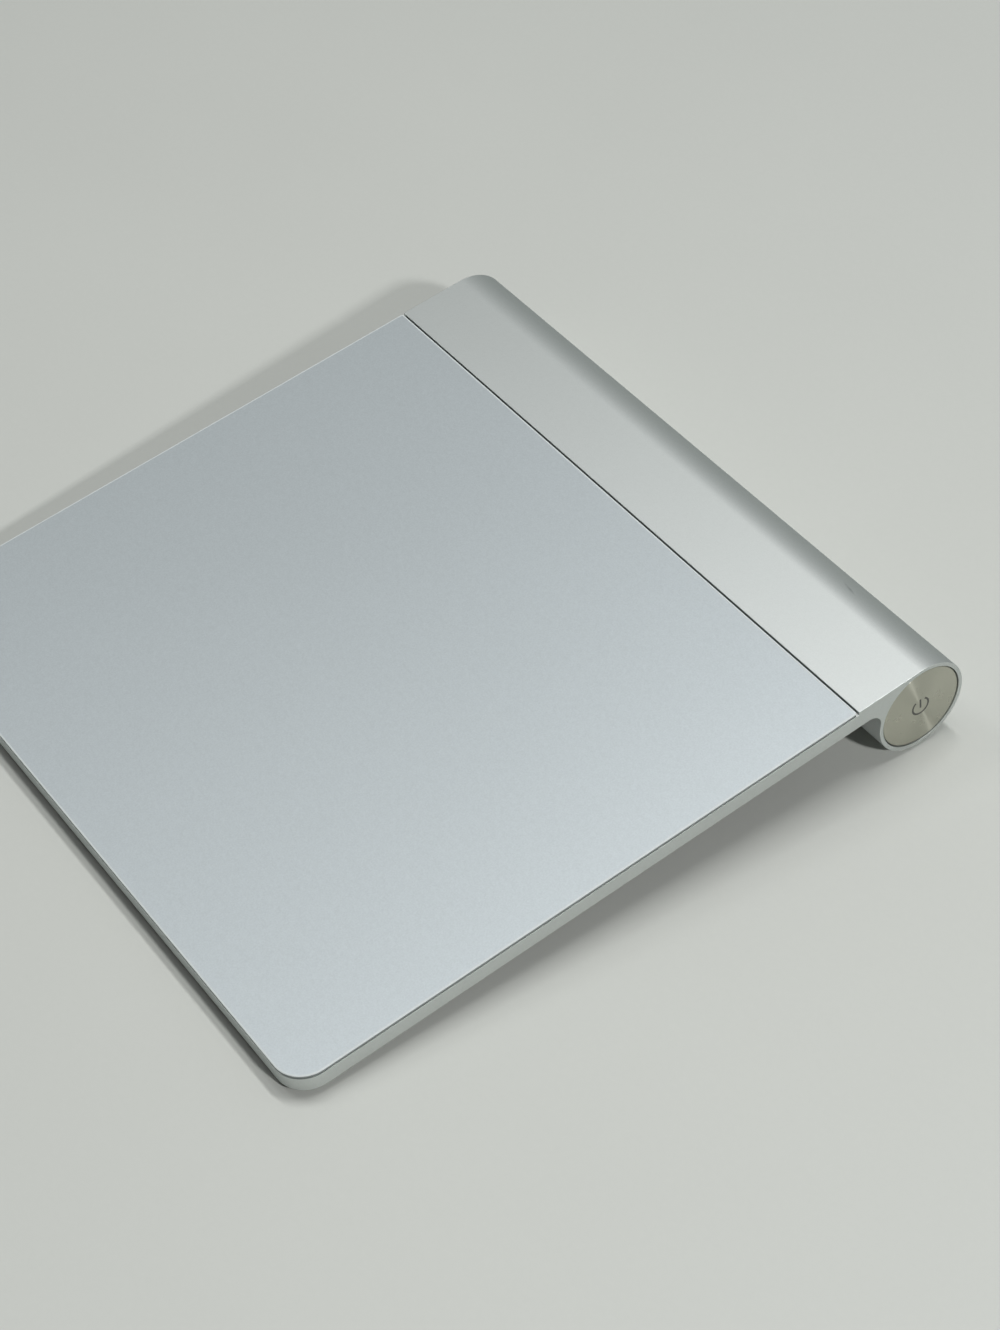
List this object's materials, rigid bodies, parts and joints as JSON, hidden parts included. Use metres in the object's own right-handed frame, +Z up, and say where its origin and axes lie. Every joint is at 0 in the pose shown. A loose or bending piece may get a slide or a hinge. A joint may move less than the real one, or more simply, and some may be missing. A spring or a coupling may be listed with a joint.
{
  "type": "wireless trackpad",
  "caption": "Sloped wireless trackpad: satin glass touch plate on an aluminium chassis with a round battery tube along the rear, end power button, screw battery door and click feet.",
  "frame": {"origin": "on the table plane under the middle of the body, halfway between the front edge and the rear of the tube", "axes": "+X to the right hand of the person using it (power button end), +Y to the rear (battery tube), +Z up"},
  "size_m": [0.13, 0.1314, 0.0182],
  "materials": {
    "chassis_aluminium": "bead-blasted and clear anodised, with a fine even grain",
    "touch_glass": "satin etched face over a silver-grey back coat, polished edge",
    "bond_black": "black adhesive",
    "circuit_board": "solder-masked board",
    "ribbon_film": "flexible film circuit",
    "dark_plastic": "moulded dark plastic",
    "can_steel": "plain tinned or spring steel",
    "antenna_ceramic": "pale ceramic block",
    "cover_plastic": "fine-textured pale plastic",
    "foot_rubber": "soft grey rubber",
    "cell_jacket": "printed foil jacket over a steel can",
    "contact_brass": "plated brass",
    "button_aluminium": "spun face, clear anodised"
  },
  "bodies": {
    "chassis": {"aluminium_chassis": "chassis_aluminium", "touch_glass": "touch_glass", "glass_bond": "bond_black", "touch_sensor_board": "circuit_board", "sensor_ribbon": "ribbon_film", "ribbon_connectors": "dark_plastic", "logic_board": "circuit_board", "radio_can": "can_steel", "board_chips": "dark_plastic", "power_coil": "dark_plastic", "radio_antenna": "antenna_ceramic", "board_screws": "can_steel", "pivot_rail": "chassis_aluminium", "rail_screws": "can_steel", "pivot_pins": "can_steel", "click_switch": "dark_plastic", "click_dome": "can_steel", "bottom_cover": "cover_plastic", "cover_tape": "bond_black", "rear_foot_strip": "foot_rubber", "battery_sleeve": "cover_plastic", "battery_left": "cell_jacket", "battery_right": "cell_jacket", "door_thread_ring": "can_steel", "contact_plug": "dark_plastic", "positive_contact": "contact_brass", "power_switch_board": "circuit_board", "power_dome": "can_steel", "button_collar": "dark_plastic", "power_ribbon": "ribbon_film"},
    "click_bar": {"click_bar": "can_steel", "click_adjuster": "contact_brass", "front_foot_left": "foot_rubber", "front_foot_right": "foot_rubber"},
    "power_button": {"power_button": "button_aluminium", "button_clip": "can_steel"},
    "door_carrier": {"spring_seat": "contact_brass", "negative_spring": "can_steel"},
    "battery_door": {"battery_door": "button_aluminium"}
  },
  "joints": [
    {"name": "click_bar_tilt", "type": "hinge", "parent": "chassis", "child": "click_bar", "pos_m": [0, -0.01982, 0.00768], "axis": [-1, 0, 0], "range_deg": [0, 0.67], "stiffness_Nm_per_rad": 1, "springref_deg": -4.87, "deforming": ["click_dome"]},
    {"name": "power_button_press", "type": "slide", "parent": "chassis", "child": "power_button", "axis": [-1, 0, 0], "range_m": [0, 0.0004], "stiffness_N_per_m": 1500, "springref_m": -0.0008, "deforming": ["power_dome"]},
    {"name": "battery_door_draw", "type": "slide", "parent": "chassis", "child": "door_carrier", "axis": [-1, 0, 0], "range_m": [0, 0.00438]},
    {"name": "battery_door_turn", "type": "hinge", "parent": "door_carrier", "child": "battery_door", "pos_m": [-0.064, 0.05686, 0.00935], "axis": [-1, 0, 0], "range_deg": [0, 1261]}
  ],
  "couplings": [
    {"joint": "battery_door_turn", "follows": "battery_door_draw", "rad_per_m": 5026.5}
  ]
}
